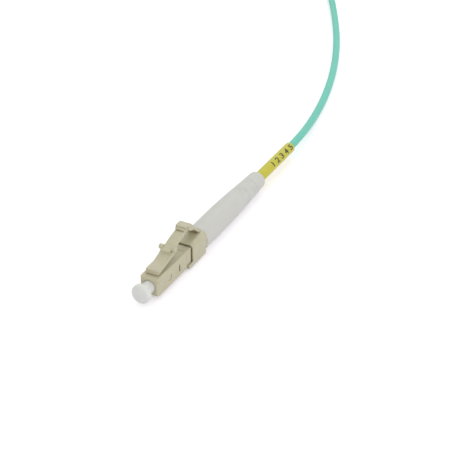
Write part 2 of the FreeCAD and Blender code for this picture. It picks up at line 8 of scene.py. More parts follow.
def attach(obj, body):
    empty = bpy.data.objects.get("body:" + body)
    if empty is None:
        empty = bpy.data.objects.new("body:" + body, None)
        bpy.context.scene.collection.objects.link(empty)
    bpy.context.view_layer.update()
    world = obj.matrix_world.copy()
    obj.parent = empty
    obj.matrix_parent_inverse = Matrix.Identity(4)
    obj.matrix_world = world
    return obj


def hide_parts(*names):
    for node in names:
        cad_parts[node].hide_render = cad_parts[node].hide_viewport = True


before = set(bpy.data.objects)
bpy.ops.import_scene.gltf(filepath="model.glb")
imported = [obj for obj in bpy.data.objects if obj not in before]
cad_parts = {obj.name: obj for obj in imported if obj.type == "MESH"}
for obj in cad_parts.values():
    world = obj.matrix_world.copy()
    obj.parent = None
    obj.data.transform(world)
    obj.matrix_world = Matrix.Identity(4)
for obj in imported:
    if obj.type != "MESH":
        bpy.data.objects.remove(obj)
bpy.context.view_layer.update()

mm = 0.001     # every length in the settings below is in millimetres
mergeGap = 0.0005     # points nearer to each other than this become one
levelGap = 1e-5     # the ends of an edge are level when they differ by less than this


def newObject(name, data):
    obj = bpy.data.objects.new(name, data)
    bpy.context.scene.collection.objects.link(obj)
    return obj


camera = {
    "aim": (8.551, 19.685, 7.542),
    "azimuth": 27.673,
    "elevation": 31.807,
    "distance": 305.0,
    "lens": 108.32,
    "sensor": 36.0,
    "clip": (10.0, 20000.0),
}


def placeCamera(view):
    turn, tilt = math.radians(view["azimuth"]), math.radians(view["elevation"])
    back = Vector((math.sin(turn) * math.cos(tilt), -math.cos(turn) * math.cos(tilt), math.sin(tilt)))
    data = bpy.data.cameras.new("camera")
    data.lens = view["lens"]
    data.sensor_width = view["sensor"]
    data.clip_start, data.clip_end = (reach * mm for reach in view["clip"])
    cam = newObject("camera", data)
    cam.location = (Vector(view["aim"]) + back * view["distance"]) * mm
    cam.rotation_euler = back.to_track_quat("Z", "Y").to_euler()
    bpy.context.scene.camera = cam


placeCamera(camera)
print("camera placed")


def setInputs(node, values):
    for socket, value in values.items():
        node.inputs[socket].default_value = value


def feed(tree, node, outputs):     # joins each output to the node's socket of that name
    for socket, output in outputs.items():
        tree.links.new(output, node.inputs[socket])


def addNode(tree, kind, values):
    node = tree.nodes.new(kind)
    setInputs(node, values)
    return node


def nodeMaterial(name):
    material = bpy.data.materials.new(name)
    material.use_nodes = True
    tree = material.node_tree
    spots = tree.nodes.new("ShaderNodeTexCoord").outputs["Object"]
    return material, tree, tree.nodes["Principled BSDF"], spots


def speckle(tree, spots, scale, detail=3.0, roughness=0.5):
    noise = addNode(tree, "ShaderNodeTexNoise", {"Scale": scale, "Detail": detail, "Roughness": roughness})
    feed(tree, noise, {"Vector": spots})
    return noise.outputs["Fac"]


def stretched(tree, spots, scale):
    placing = addNode(tree, "ShaderNodeMapping", {"Scale": scale})
    feed(tree, placing, {"Vector": spots})
    return placing.outputs["Vector"]


def tint(tree, noise, dark, light, low=0.35, high=0.65):
    ramp = tree.nodes.new("ShaderNodeValToRGB")
    for stop, position, colour in zip(ramp.color_ramp.elements, (low, high), (dark, light)):
        stop.position = position
        stop.color = (*colour, 1)
    feed(tree, ramp, {"Fac": noise})
    return ramp.outputs["Color"]


def between(tree, share, low, high):     # low where the share is 0, and high where it is 1
    span = addNode(tree, "ShaderNodeMapRange", {"To Min": low, "To Max": high})
    feed(tree, span, {"Value": share})
    return span.outputs["Result"]


def bump(tree, height, strength, distance):
    relief = addNode(tree, "ShaderNodeBump", {"Strength": strength, "Distance": distance * mm})
    feed(tree, relief, {"Height": height})
    return relief.outputs["Normal"]


def anyRay(tree, kinds):     # 1 for a ray of one of these kinds, or else 0
    rays = tree.nodes.new("ShaderNodeLightPath")
    found = rays.outputs[kinds[0]]
    for kind in kinds[1:]:
        either = tree.nodes.new("ShaderNodeMath")
        either.operation = "MAXIMUM"
        feed(tree, either, {0: found, 1: rays.outputs[kind]})
        found = either.outputs[0]
    return found


hollows = {     # painted shade: narrow gaps and pockets are painted a darker colour, which stands in for the shade that falls in them
    "reach": 0.8,
    "samples": 8,
    "closed": 0.15,     # how open a place is where it has all of the painted shade colour
    "open": 0.72,     # and where it has none
}


# paints shade into the colour: the more a spot is closed in by nearby surfaces, the more it turns to the
# shade colour
def paintShadeInHollows(tree, shade, colour):
    nearby = addNode(tree, "ShaderNodeAmbientOcclusion", {"Distance": hollows["reach"] * mm})
    nearby.samples = hollows["samples"]
    level = addNode(tree, "ShaderNodeMapRange", {"From Min": hollows["closed"], "From Max": hollows["open"]})
    feed(tree, level, {"Value": nearby.outputs["AO"]})
    mix = tree.nodes.new("ShaderNodeMix")
    mix.data_type = "RGBA"
    setInputs(mix, {"A": (*colour, 1)})
    feed(tree, mix, {"Factor": level.outputs["Result"], "B": shade})
    return mix.outputs["Result"]


plainLook = {     # what a moulded finish has where its own line doesn't say
    "spread": 0.03,     # how far the colour varies
    "cloudSize": 420.0,
    "cloudDetail": 4.0,
    "rough": (0.38, 0.5),
    "grain": 9000.0,
    "grainDetail": 2.0,
    "grainRoughness": 0.6,
    "bumpStrength": 0.6,
    "bumpDepth": 0.004,
    "index": 1.48,
    "shine": 0.5,
    "soft": 0.0,     # the share of light that goes under the surface
    "softDepth": 0.3,
    "softTint": (1.0, 0.9, 0.7),
    "hollow": None,     # the painted shade colour for narrow gaps and pockets
}
mouldedLooks = {
    # the brown below is painted shade in the gaps and pockets of the beige parts
    "beigePlastic": {"colour": (0.525, 0.503, 0.343), "soft": 0.15, "hollow": (0.38, 0.29, 0.165)},
    "capPlastic": {"colour": (0.7, 0.717, 0.67), "spread": 0.01, "rough": (0.28, 0.36), "soft": 0.6,
                   "softDepth": 1.0},
    "bootRubber": {"colour": (0.602, 0.61, 0.557), "spread": 0.015, "rough": (0.5, 0.62), "grain": 7000.0,
                   "bumpDepth": 0.006, "soft": 0.25, "softDepth": 0.6},
    "markerVinyl": {"colour": (0.575, 0.545, 0.055), "spread": 0.02, "rough": (0.3, 0.42), "grain": 5000.0,
                    "shine": 0.25},
    "digitInk": {"colour": (0.075, 0.068, 0.03), "spread": 0.1, "rough": (0.4, 0.5)},
    "jacketVinyl": {"colour": (0.178, 0.605, 0.482), "spread": 0.02, "rough": (0.4, 0.52), "grain": 6000.0,
                    "bumpDepth": 0.006, "shine": 0.2},
    "tiePlastic": {"colour": (0.72, 0.72, 0.70), "spread": 0.02, "rough": (0.42, 0.5)},
    "bufferVinyl": {"colour": (0.22, 0.62, 0.53), "spread": 0.015, "rough": (0.35, 0.45), "grain": 8000.0,
                    "bumpDepth": 0.003},
    "guidePlastic": {"colour": (0.78, 0.78, 0.75), "spread": 0.01, "rough": (0.3, 0.4), "soft": 0.4,
                     "softDepth": 0.4},
    "zirconia": {"colour": (0.80, 0.79, 0.75), "spread": 0.01, "rough": (0.08, 0.14), "grain": 14000.0,
                 "bumpDepth": 0.0006, "index": 2.1, "soft": 0.3},
}


def mouldedFinish(name, ownLook):
    look = {**plainLook, **ownLook}
    material, tree, shader, spots = nodeMaterial(name)
    dark = [tone * (1 - look["spread"]) for tone in look["colour"]]
    light = [min(1.0, tone * (1 + look["spread"])) for tone in look["colour"]]
    shade = tint(tree, speckle(tree, spots, look["cloudSize"], look["cloudDetail"]), dark, light)
    # painted shade in the narrow gaps and pockets
    if look["hollow"]:
        shade = paintShadeInHollows(tree, shade, look["hollow"])
    grain = speckle(tree, spots, look["grain"], look["grainDetail"], look["grainRoughness"])
    feed(tree, shader, {
        "Base Color": shade,
        "Roughness": between(tree, grain, *look["rough"]),
        "Normal": bump(tree, grain, look["bumpStrength"], look["bumpDepth"]),
    })
    setInputs(shader, {
        "IOR": look["index"],
        "Specular IOR Level": look["shine"],
        "Subsurface Weight": look["soft"],
        "Subsurface Radius": look["softTint"],
        "Subsurface Scale": look["softDepth"] * mm,
    })
    return material


scratches = {"size": 900.0, "detail": 4.0, "roughness": 0.6, "shade": 0.93, "bumpStrength": 0.5}
metalLooks = {     # the stretch makes the scratches run round the turned parts
    "nickelPlate": {"colour": (0.66, 0.64, 0.60), "rough": (0.18, 0.3), "stretch": (1.0, 9.0, 1.0),
                    "bumpDepth": 0.004},
    "springSteel": {"colour": (0.60, 0.60, 0.62), "rough": (0.2, 0.32), "stretch": (1.0, 6.0, 1.0),
                    "bumpDepth": 0.003},
    "crimpMetal": {"colour": (0.72, 0.62, 0.40), "rough": (0.24, 0.36), "stretch": (1.0, 9.0, 1.0),
                   "bumpDepth": 0.005},
}


def metalFinish(name, look):
    material, tree, shader, spots = nodeMaterial(name)
    marks = speckle(tree, stretched(tree, spots, look["stretch"]), scratches["size"], scratches["detail"],
                    scratches["roughness"])
    dark = [tone * scratches["shade"] for tone in look["colour"]]
    feed(tree, shader, {
        "Base Color": tint(tree, marks, dark, look["colour"]),
        "Roughness": between(tree, marks, *look["rough"]),
        "Normal": bump(tree, marks, scratches["bumpStrength"], look["bumpDepth"]),
    })
    setInputs(shader, {"Metallic": 1.0})
    return material


yarnLook = {
    "stretch": (1.0, 0.04, 1.0),     # the threads run along the cable
    "size": 9000.0,
    "detail": 3.0,
    "roughness": 0.7,
    "dark": (0.50, 0.36, 0.07),
    "light": (0.80, 0.64, 0.19),
    "stops": (0.4, 0.6),
    "bumpStrength": 1.0,
    "bumpDepth": 0.03,
    "rough": 0.6,
    "sheen": 0.3,
}


def yarnFinish(name, look):
    material, tree, shader, spots = nodeMaterial(name)
    threads = speckle(tree, stretched(tree, spots, look["stretch"]), look["size"], look["detail"],
                      look["roughness"])
    feed(tree, shader, {
        "Base Color": tint(tree, threads, look["dark"], look["light"], *look["stops"]),
        "Normal": bump(tree, threads, look["bumpStrength"], look["bumpDepth"]),
    })
    setInputs(shader, {"Roughness": look["rough"], "Sheen Weight": look["sheen"]})
    return material


glassLook = {
    "colour": (0.93, 0.95, 0.95),
    "haze": 12000.0,
    "rough": (0.02, 0.06),
    "clear": 0.9,
    "index": 1.46,
}


def glassFinish(name, look):
    material, tree, shader, spots = nodeMaterial(name)
    feed(tree, shader, {"Roughness": between(tree, speckle(tree, spots, look["haze"]), *look["rough"])})
    setInputs(shader, {
        "Base Color": (*look["colour"], 1),
        "Transmission Weight": look["clear"],
        "IOR": look["index"],
    })
    return material


finishes = {name: mouldedFinish(name, look) for name, look in mouldedLooks.items()}
finishes.update({name: metalFinish(name, look) for name, look in metalLooks.items()})
finishes["yarnFibres"] = yarnFinish("yarnFibres", yarnLook)
finishes["fibreGlass"] = glassFinish("fibreGlass", glassLook)
print("materials made")


def asMesh(bm, name="shape"):
    mesh = bpy.data.meshes.new(name)
    bm.to_mesh(mesh)
    bm.free()
    return mesh


def mergeAndTurn(bm):     # merges doubled points and turns the faces outwards
    bmesh.ops.remove_doubles(bm, verts=bm.verts[:], dist=mergeGap)
    bmesh.ops.recalc_face_normals(bm, faces=bm.faces[:])


def shadedObject(mesh, name, material, crease):     # edges sharper than the crease, in degrees, stay sharp
    mesh.materials.append(material)
    mesh.shade_smooth()
    mesh.set_sharp_from_angle(angle=math.radians(crease))
    return newObject(name, mesh)


def closeMesh(bm, name, finish, crease=32.0):
    mergeAndTurn(bm)
    bmesh.ops.scale(bm, vec=(mm, mm, mm), verts=bm.verts[:])
    return shadedObject(asMesh(bm, name), name, finishes[finish], crease)


def evenShading(obj):     # broad faces stay flat beside their rounded edges
    even = obj.modifiers.new("evenShading", "WEIGHTED_NORMAL")
    even.keep_sharp = True
    even.weight = 80
    return obj


def handOver(obj, body, slot, *replaced):
    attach(obj, body)
    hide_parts(*replaced)
    return obj


def shift(bm, move):
    bmesh.ops.translate(bm, verts=bm.verts[:], vec=move)
    return bm


def rotate(bm, turn):
    bmesh.ops.rotate(bm, verts=bm.verts[:], cent=(0, 0, 0), matrix=turn)
    return bm


def pointsOf(items):
    return [item for item in items if isinstance(item, bmesh.types.BMVert)]


def levelEdges(bm, axis):     # the edges that lie square to this axis
    along = Vector(axis)
    return [edge for edge in bm.edges if abs((edge.verts[0].co - edge.verts[1].co).dot(along)) < levelGap]


def roundEdges(bm, edges, radius, segments):
    bmesh.ops.bevel(bm, geom=edges, offset=radius, offset_type="OFFSET", segments=segments, profile=0.5,
                    affect="EDGES", clamp_overlap=True, material=-1)


def sharp(corners):     # the same corners with no rounding
    return [(*corner, 0) for corner in corners]


arcStep = math.radians(14)     # one step of a rounded corner turns by about this much


def roundedFace(bm, corners):     # corners are (point, radius)
    verts = [bm.verts.new(point) for point, radius in corners]
    bm.faces.new(verts)
    count = len(corners)
    for index, (point, radius) in enumerate(corners):
        if radius == 0:
            continue
        here = Vector(point)
        before = (Vector(corners[index - 1][0]) - here).normalized()
        after = (Vector(corners[(index + 1) % count][0]) - here).normalized()
        bend = before.angle(after)
        steps = max(3, round((math.pi - bend) / arcStep))
        bmesh.ops.bevel(bm, geom=[verts[index]], offset=radius / math.tan(bend / 2), offset_type="OFFSET",
                        segments=steps, profile=0.5, affect="VERTICES", material=-1)


def thicken(bm, move, edgeRound, segments=2):     # a flat outline becomes a plate with rounded rims
    far = pointsOf(bmesh.ops.extrude_face_region(bm, geom=bm.faces[:])["geom"])
    bmesh.ops.translate(bm, verts=far, vec=move)
    bmesh.ops.recalc_face_normals(bm, faces=bm.faces[:])
    if edgeRound:
        roundEdges(bm, levelEdges(bm, Vector(move).normalized()), edgeRound, segments)


def sidePlate(corners, width, edgeRound=0.0):     # corners are (y, z, radius), with its middle at x = 0
    bm = bmesh.new()
    roundedFace(bm, [((-width / 2, y, z), radius) for y, z, radius in corners])
    thicken(bm, (width, 0, 0), edgeRound)
    return bm


def lengthPlate(corners, front, rear, edgeRound=0.0, segments=2):     # corners are (x, z, radius)
    bm = bmesh.new()
    roundedFace(bm, [((x, front, z), radius) for x, z, radius in corners])
    thicken(bm, (0, rear - front, 0), edgeRound, segments)
    return bm


def block(low, high, edgeRound=0.0, segments=2):
    bm = bmesh.new()
    bmesh.ops.create_cube(bm, size=1.0)
    bmesh.ops.scale(bm, vec=Vector(high) - Vector(low), verts=bm.verts[:])
    shift(bm, (Vector(high) + Vector(low)) / 2)
    if edgeRound:
        roundEdges(bm, bm.edges[:], edgeRound, segments)
    return bm


def turned(corners, steps=64):     # corners are (y, distance from the axis, radius)
    bm = bmesh.new()
    roundedFace(bm, [((distance, y, 0), radius) for y, distance, radius in corners])
    outline = bm.edges[:] + bm.verts[:]
    bmesh.ops.delete(bm, geom=bm.faces[:], context="FACES_ONLY")
    bmesh.ops.spin(bm, geom=outline, cent=(0, 0, 0), axis=(0, 1, 0), angle=2 * math.pi, steps=steps,
                   use_merge=True, use_duplicate=False)
    mergeAndTurn(bm)
    return bm


def rod(radius, tip, depth, steps):     # along z, with its middle at 0 and the tip's radius at the upper end
    bm = bmesh.new()
    bmesh.ops.create_cone(bm, cap_ends=True, segments=steps, radius1=radius, radius2=tip, depth=depth)
    return bm


def pin(radius, y, z, halfWidth, edgeRound=0.0, steps=32):     # a short bar across x
    bm = rotate(rod(radius, radius, 2 * halfWidth, steps), Matrix.Rotation(math.pi / 2, 3, "Y"))
    shift(bm, (0, y, z))
    if edgeRound:
        roundEdges(bm, levelEdges(bm, (1, 0, 0)), edgeRound, 3)
    return bm


def onBothSides(makeShape, x):     # one shape at -x and one at x
    return [shift(makeShape(), (flank * x, 0, 0)) for flank in (-1, 1)]


def join(first, *others):
    for other in others:
        first.from_mesh(asMesh(other))
    return first


def evaluated(obj):     # the object's shape with its modifiers applied
    bm = bmesh.new()
    bm.from_object(obj, bpy.context.evaluated_depsgraph_get())
    return bm


def combine(bm, kind, *shapes):     # DIFFERENCE takes the shapes away, and UNION adds them
    target = newObject("target", asMesh(bm))
    helpers = [newObject("helper", asMesh(shape)) for shape in shapes]
    for helper in helpers:
        step = target.modifiers.new("step", "BOOLEAN")
        step.operation = kind
        step.solver = "EXACT"
        step.object = helper
    done = evaluated(target)
    for obj in helpers + [target]:
        bpy.data.objects.remove(obj)
    bmesh.ops.remove_doubles(done, verts=done.verts[:], dist=mergeGap)
    return done


cable = {
    "exit": (0.0, 53.55, 0.0),
    "diameter": 2.0,
    "length": 946.0,
    "route": (     # straight out of the boot, then along the ground
        (0.0, 53.55, 0.0), (0.05, 65.2, 0.0), (-0.05, 79.0, 0.0), (-2.8, 93.8, -1.9), (-5.55, 107.6, -2.0),
        (-9.65, 122.2, -2.0), (-15.3, 137.7, -2.0), (-22.3, 153.4, -2.0), (-33.2, 174.3, -1.75),
        (-40.3, 185.1, -1.6)),
    "leadIn": 8.0,
    "coilMiddle": 12.0,     # radius of the coil at the middle of its turns
    "columns": 4,
    "layers": 3,
    "pitch": 2.05,
    "turns": 10.54,
    "pointsPerTurn": 24,
    "firstShift": 245.0,     # degrees round the coil where the cable starts to move over to its next place
    "shiftSpan": 110.0,
    "climbSpan": 70.0,
    "stepsBetweenPoints": 8,
    "bevelSteps": 7,
}


def smooth(share):
    share = min(1.0, max(0.0, share))
    return share * share * (3 - 2 * share)


def coilMoves(run):     # where the cable moves over or up: start, span, columns inwards and layers upwards
    moves = []
    start = run["firstShift"]
    for layer in range(run["layers"]):
        inwards = 1 if layer % 2 == 0 else -1
        for column in range(run["columns"] - 1):
            moves.append((start, run["shiftSpan"], inwards, 0))
            start += 360
        if layer < run["layers"] - 1:     # it climbs just before the turn beside it moves over
            moves.append((start - run["climbSpan"], run["climbSpan"], 0, 1))
        start += 360 - run["climbSpan"] - run["shiftSpan"]
    return moves


def cablePoints(run):
    points = [Vector(point) for point in run["route"]]
    level = points[-1].z
    heading = points[-1] - points[-2]
    heading.z = 0
    heading.normalize()
    outward = Vector((0, 0, 1)).cross(heading)     # to the left, as the coil is wound clockwise
    outerTurn = run["coilMiddle"] + (run["columns"] - 1) * run["pitch"] / 2
    start = points[-1] + heading * run["leadIn"]
    centre = start - outward * outerTurn
    points.append((points[-1] + start) / 2)
    moves = coilMoves(run)
    step = 360.0 / run["pointsPerTurn"]
    count = round(run["turns"] * run["pointsPerTurn"])
    for index in range(1, count + 1):
        angle = index * step - step / 2
        column = sum(inwards * smooth((angle - begin) / span) for begin, span, inwards, upwards in moves)
        layer = sum(upwards * smooth((angle - begin) / span) for begin, span, inwards, upwards in moves)
        radius = outerTurn - column * run["pitch"]
        if index < count:     # the smooth line runs inside its points, apart from the last
            radius /= math.cos(math.radians(step / 2))
        around = math.radians(angle)
        spot = centre + (outward * math.cos(around) + heading * math.sin(around)) * radius
        spot.z = level + layer * run["pitch"]
        points.append(spot)
    return points, centre, outward


def makeCable(run):
    points, centre, outward = cablePoints(run)
    curve = bpy.data.curves.new("cable", "CURVE")
    curve.dimensions = "3D"
    spline = curve.splines.new("NURBS")
    spline.points.add(len(points) - 1)
    for place, point in zip(spline.points, points):
        place.co = (*(point * mm), 1)
    spline.order_u = 3
    spline.use_endpoint_u = True
    spline.resolution_u = run["stepsBetweenPoints"]
    curve.bevel_depth = run["diameter"] / 2 * mm
    curve.bevel_resolution = run["bevelSteps"]
    curve.use_fill_caps = True
    curve.materials.append(finishes["jacketVinyl"])
    obj = newObject("cable", curve)
    handOver(obj, "plug", "cable_run", "cable_run", "cable_coil")
    return obj, centre, outward, points[-1], (points[-1] - points[-2]).normalized()


cableObject, coilCentre, coilOutward, cableEnd, endHeading = makeCable(cable)
print("cable laid and coiled")

tie = {
    "width": 4.0,
    "thickness": 0.35,
    "gap": 0.05,
    "corner": 0.9,
    "rimRound": 0.08,
    "rimAngle": 1.0,     # radians that the surface turns by at a rim, at least
    "angles": {"coilTieNear": (80.0, "coil_tie_near"), "coilTieFar": (260.0, "coil_tie_far")},
}


def makeTie(band, name, angle, node):
    half = band["width"] / 2
    reach = (cable["columns"] - 1) * cable["pitch"] / 2 + cable["diameter"] / 2
    inner = math.sqrt((cable["coilMiddle"] - reach) ** 2 - half ** 2) - band["gap"]
    outer = cable["coilMiddle"] + reach + band["gap"]
    low = cable["route"][-1][2] - cable["diameter"] / 2 - band["gap"]
    high = low + (cable["layers"] - 1) * cable["pitch"] + cable["diameter"] + 2 * band["gap"]
    bm = bmesh.new()
    corners = ((inner, low), (outer, low), (outer, high), (inner, high))
    roundedFace(bm, [((x, -half, z), band["corner"]) for x, z in corners])
    bmesh.ops.delete(bm, geom=bm.faces[:], context="FACES_ONLY")
    far = pointsOf(bmesh.ops.extrude_edge_only(bm, edges=bm.edges[:])["geom"])
    bmesh.ops.translate(bm, verts=far, vec=(0, band["width"], 0))
    bmesh.ops.recalc_face_normals(bm, faces=bm.faces[:])
    bmesh.ops.solidify(bm, geom=bm.faces[:], thickness=-band["thickness"])
    rims = [edge for edge in levelEdges(bm, (0, 1, 0))
            if len(edge.link_faces) == 2 and edge.calc_face_angle() > band["rimAngle"]]
    roundEdges(bm, rims, band["rimRound"], 2)
    start = math.atan2(coilOutward.y, coilOutward.x) - math.radians(angle)
    rotate(bm, Matrix.Rotation(start, 3, "Z"))
    shift(bm, (coilCentre.x, coilCentre.y, 0))
    return handOver(closeMesh(bm, name, "tiePlastic"), "plug", node, node)


coilTies = [makeTie(tie, name, angle, node) for name, (angle, node) in tie["angles"].items()]
print("ties round the coil")

cutEnd = {
    "yarnInner": 0.47,
    "yarnOuter": 0.68,
    "strands": 44,
    "strandRadius": 0.05,
    "strandTip": 0.035,
    "strandSides": 7,
    "strandLength": (0.06, 0.3),
    "strandSunk": 0.02,
    "scatter": 4,     # degrees that a strand may stand to either side of its place
    "lean": 0.25,     # radians that a strand may lean each way
    "seed": 7,
    "bufferRadius": 0.45,
    "bufferProud": 0.05,
    "bufferRound": 0.02,
    "bufferSides": 40,
    "fibreRadius": 0.0625,
    "fibreProud": 0.07,
    "fibreSides": 24,
    "crease": 50,
}


def atCableEnd(bm, name, finish):     # from the end's own axes to its place
    rotate(bm, endHeading.to_track_quat("Z", "Y").to_matrix())
    shift(bm, cableEnd)
    obj = closeMesh(bm, name, finish, cutEnd["crease"])
    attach(obj, "plug")
    return obj


def makeYarn(end):
    chance = random.Random(end["seed"])
    inner, outer = end["yarnInner"] + end["strandRadius"], end["yarnOuter"] - end["strandRadius"]
    yarn = bmesh.new()
    for index in range(end["strands"]):
        around = math.radians(index * 360 / end["strands"] + chance.uniform(-end["scatter"], end["scatter"]))
        distance = chance.uniform(inner, outer)
        reach = chance.uniform(*end["strandLength"])
        strand = rod(end["strandRadius"], end["strandTip"], reach, end["strandSides"])
        lean = Matrix.Identity(3)
        for axis in ("X", "Y"):
            lean = lean @ Matrix.Rotation(chance.uniform(-end["lean"], end["lean"]), 3, axis)
        bmesh.ops.rotate(strand, verts=strand.verts[:], cent=(0, 0, -reach / 2), matrix=lean)
        middle = reach / 2 - end["strandSunk"]
        join(yarn, shift(strand, (distance * math.cos(around), distance * math.sin(around), middle)))
    return yarn


def makeCutEnd(end):
    core = rod(end["bufferRadius"], end["bufferRadius"], 2 * end["bufferProud"], end["bufferSides"])
    roundEdges(core, levelEdges(core, (0, 0, 1)), end["bufferRound"], 2)
    fibre = rod(end["fibreRadius"], end["fibreRadius"], 2 * end["fibreProud"], end["fibreSides"])
    return [atCableEnd(makeYarn(end), "cutYarn", "yarnFibres"),
            atCableEnd(core, "cutBuffer", "bufferVinyl"),
            atCableEnd(fibre, "cutFibre", "fibreGlass")]


cutPieces = makeCutEnd(cutEnd)

plug = {
    "low": (-2.25, 0.0, -2.25),
    "high": (2.25, 12.85, 2.25),
    "rounds": (0.45, 0.05, 0.2, 0.1),     # front, rear, top and bottom
    "bore": (     # y and distance from the axis
        (-1.0, 1.57), (0.0, 1.57), (0.04, 1.53), (2.8, 1.53), (2.8, 0.95), (5.0, 0.95), (5.0, 2.0),
        (13.5, 2.0), (13.5, 0), (-1.0, 0)),
    "window": (     # y, z and radius of each corner
        (9.55, -1.15, 0.08), (9.55, 0.7, 0.08), (10.12, 0.7, 0.08), (10.12, -1.15, 0.08)),
    "windowReach": 6.0,     # right through both sides
    "mark": (0.85, 5.45, -0.15, 0.5, 0.0, 48),     # the ejector's: radius, y, z, half width, rounding, steps
    "markMiddle": 2.63,     # x, which leaves it 0.12 deep
    "groove": (0.38, 2.0, 2.2, 1.625),     # radius, y, z and half width
}


def roundedBlock(low, high, rounds, segments=3):     # rounds are the front, rear, top and bottom radii
    front, rear, top, bottom = rounds
    bm = block(low, high)
    share = bm.edges.layers.float.new("bevel_weight_edge")
    for edge in bm.edges:
        middle = (edge.verts[0].co + edge.verts[1].co) / 2
        radius = top if middle.z > (low[2] + high[2]) / 2 else bottom
        if abs(middle.y - low[1]) < mergeGap:
            radius = front
        elif abs(middle.y - high[1]) < mergeGap:
            radius = rear
        edge[share] = radius / max(rounds)
    shape = newObject("shape", asMesh(bm))
    soften = shape.modifiers.new("soften", "BEVEL")
    soften.limit_method = "WEIGHT"
    soften.width = max(rounds)
    soften.segments = segments
    soften.profile = 0.5
    done = evaluated(shape)
    bpy.data.objects.remove(shape)
    return done


def makePlug(body):
    bm = roundedBlock(body["low"], body["high"], body["rounds"], 4)
    marks = onBothSides(lambda: pin(*body["mark"]), body["markMiddle"])
    bm = combine(bm, "DIFFERENCE", turned(sharp(body["bore"])),
                 sidePlate(body["window"], body["windowReach"]), pin(*body["groove"]), *marks)
    obj = evenShading(closeMesh(bm, "plug", "beigePlastic"))
    return handOver(obj, "plug", "plug_housing", "plug_housing")


makePlug(plug)

latch = {
    "lower": (     # y, z and radius of each corner, seen from the side
        (1.45, 2.33, 0.1), (1.45, 3.5, 0.15), (5.0, 3.5, 3.0), (7.45, 4.3, 2.0), (8.61, 5.25, 0.3),
        (9.35, 5.08, 0.3), (9.15, 3.93, 0.3), (2.45, 2.33, 1.0)),
    "lowerWidth": 3.15,
    "upper": (
        (7.45, 3.8, 0), (7.45, 5.12, 0.12), (9.35, 5.48, 4.0), (11.75, 6.26, 6.0), (13.82, 6.66, 0.05),
        (14.14, 6.6, 0.03), (13.97, 6.84, 0.04), (14.03, 7.28, 0.08), (14.6, 7.28, 0.2), (14.6, 6.0, 0.3),
        (13.95, 5.55, 1.0), (11.75, 5.11, 4.0), (9.15, 3.93, 1.5)),
    "upperWidth": 2.24,
    "edgeRound": 0.07,
    "ear": (0.6, 8.61, 5.15, 0.55, 0.14, 40),     # radius, y, z, half width, rounding and steps
    "earMiddle": 1.55,     # x
    # radius, y, z and half width; these are a fault, and the real ones are 0.35, 2.0, 2.2 and 1.575
    "barrel": (2.0, 2.2, 0.35, 1.575),
    "pip": (-0.5, 3.4, 3.5),     # middle of the gate's mark on the top
    "pipRod": (0.15, 0.12, 0.07, 24),     # its radius below and above, depth and steps
}


def makeLatch(arm):
    bm = sidePlate(arm["lower"], arm["lowerWidth"], arm["edgeRound"])
    join(bm, sidePlate(arm["upper"], arm["upperWidth"], arm["edgeRound"]))
    join(bm, *onBothSides(lambda: pin(*arm["ear"]), arm["earMiddle"]))
    join(bm, pin(*arm["barrel"]))
    join(bm, shift(rod(*arm["pipRod"]), arm["pip"]))
    return handOver(evenShading(closeMesh(bm, "latch", "beigePlastic")), "latch", "latch_arm", "latch_arm")


makeLatch(latch)

rearBody = {
    "low": (-2.25, 12.89, -2.25),
    "high": (2.25, 15.05, 2.25),
    "rounds": (0.05, 0.07, 0.2, 0.08),     # front, rear, top and bottom
    "spindle": (     # y and distance from the axis, nose in front and grooved barrel behind
        (6.2, 1.7), (6.2, 1.95), (12.95, 1.95), (12.95, 1.9), (14.6, 1.9), (14.6, 2.1), (16.4, 2.1),
        (16.4, 2.2), (16.9, 2.2), (16.9, 2.1), (18.0, 2.1), (18.0, 1.3), (19.1, 1.3), (19.1, 1.2),
        (19.5, 1.2), (19.5, 1.3), (19.9, 1.3), (19.9, 1.2), (20.3, 1.2), (20.3, 1.3), (20.7, 1.3),
        (20.7, 1.2), (21.1, 1.2), (21.1, 1.3), (24.6, 1.3), (24.6, 0.72), (11.5, 0.72), (11.5, 1.35),
        (6.2, 1.35)),
    "bore": ((6.0, 0), (6.0, 1.35), (11.5, 1.35), (11.5, 0.72), (25.0, 0.72), (25.0, 0)),
    "steps": 48,
    "tabs": ((-2.0, 9.3, 0.0), (2.0, 10.35, 0.9)),     # behind the upper part of the plug's windows
    "tabRound": 0.05,
    "rightPocket": ((1.3, 9.3, -1.3), (2.6, 10.35, 0.0)),     # behind the lower part
    "leftPocket": ((-2.6, 9.3, -1.3), (-1.3, 10.35, 0.0)),
}


def makeRearBody(body):
    bm = roundedBlock(body["low"], body["high"], body["rounds"])
    bm = combine(bm, "UNION", turned(sharp(body["spindle"]), body["steps"]),
                 block(*body["tabs"], body["tabRound"]))
    bm = combine(bm, "DIFFERENCE", turned(sharp(body["bore"]), body["steps"]), block(*body["rightPocket"]),
                 block(*body["leftPocket"]))
    return handOver(evenShading(closeMesh(bm, "rearBody", "beigePlastic")), "plug", "back_body", "back_body")


makeRearBody(rearBody)

triggerHousing = {
    "section": (     # x, z and radius of each corner, seen from behind
        (-2.7, -2.6, 0.12), (2.7, -2.6, 0.12), (2.7, 2.1, 0.5), (1.95, 2.85, 0.8), (-1.95, 2.85, 0.8),
        (-2.7, 2.1, 0.5)),
    "span": (15.35, 21.9),     # y of its front and its rear
    "edgeRound": 0.09,
    "ledge": ((-2.7, 13.45, -2.6), (2.7, 15.8, -1.6)),
    "ledgeRounds": (0.14, 0.0, 0.1, 0.12),
    "plugRoom": ((-2.37, -2.3, 0.1), (2.37, -2.3, 0.1), (2.37, 2.44, 0.6), (-2.37, 2.44, 0.6)),
    "roomSpan": (12.0, 15.8),
    "rearStep": ((-4.0, 21.25, -4.0), (4.0, 23.0, -0.8)),
    "bore": (     # y and distance from the axis
        (12.0, 0), (12.0, 2.15), (16.35, 2.15), (16.35, 2.25), (16.95, 2.25), (16.95, 2.15), (21.85, 2.15),
        (22.5, 2.4), (22.5, 0)),
    "groove": (0.33, 20.85, 2.75, 1.37),     # radius, y, z and half width
}


